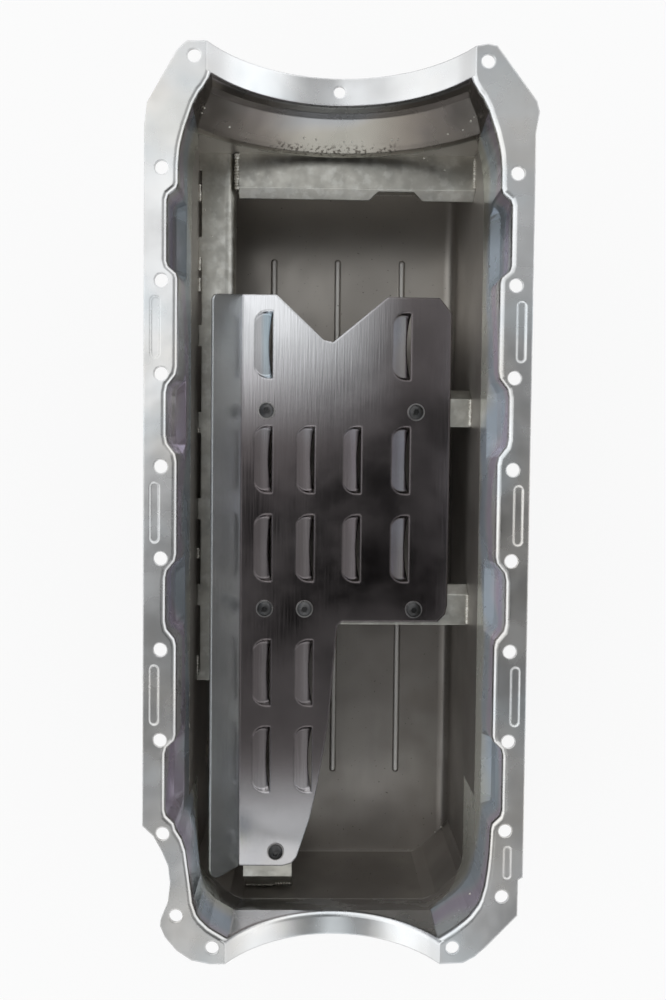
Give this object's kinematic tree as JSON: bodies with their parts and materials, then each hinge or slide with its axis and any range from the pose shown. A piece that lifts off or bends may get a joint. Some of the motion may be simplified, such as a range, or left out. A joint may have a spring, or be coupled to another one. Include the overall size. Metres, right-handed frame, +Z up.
{
  "type": "engine oil pan",
  "caption": "Deep fabricated steel engine oil pan with stamped rail and saddles, bolted louvered windage tray, baffles and drain.",
  "frame": {"origin": "centre of the rail's middle bolt holes, on the rail's top face", "axes": "+X to the pan's right seen from above with the front up, +Y along the rail to the front saddle, +Z up out of the opening"},
  "size_m": [0.2547, 0.6145, 0.1915],
  "materials": {
    "pan_steel": "plated pressed steel, satin",
    "sump_steel": "plated sheet steel, dull",
    "tray_steel": "satin sheet steel",
    "bar_steel": "plated steel, satin",
    "baffle_steel": "sheet steel, satin",
    "black_screw": "black oxide",
    "washer_steel": "plated, satin",
    "nut_steel": "plated, satin",
    "plug_steel": "plated, satin",
    "plug_copper": "copper, dull"
  },
  "bodies": {
    "root": {"pan_body": "pan_steel", "sump_shell": "sump_steel", "sump_front_wall": "sump_steel", "sump_rear_wall": "sump_steel", "front_baffle": "baffle_steel", "side_baffle": "baffle_steel", "windage_tray": "tray_steel", "front_crossbar": "bar_steel", "rear_crossbar": "bar_steel", "tray_bracket": "bar_steel", "drain_bung": "nut_steel", "drain_washer": "plug_copper", "drain_plug": "plug_steel", "tray_screw_1": "black_screw", "tray_screw_2": "black_screw", "tray_screw_3": "black_screw", "tray_screw_4": "black_screw", "tray_screw_5": "black_screw", "tray_screw_6": "black_screw", "tray_washer_1": "washer_steel", "tray_washer_2": "washer_steel", "tray_washer_3": "washer_steel", "tray_washer_4": "washer_steel", "tray_washer_5": "washer_steel", "tray_washer_6": "washer_steel", "tray_nut_1": "nut_steel", "tray_nut_2": "nut_steel", "tray_nut_3": "nut_steel", "tray_nut_4": "nut_steel", "tray_nut_5": "nut_steel", "tray_nut_6": "nut_steel"}
  },
  "joints": []
}
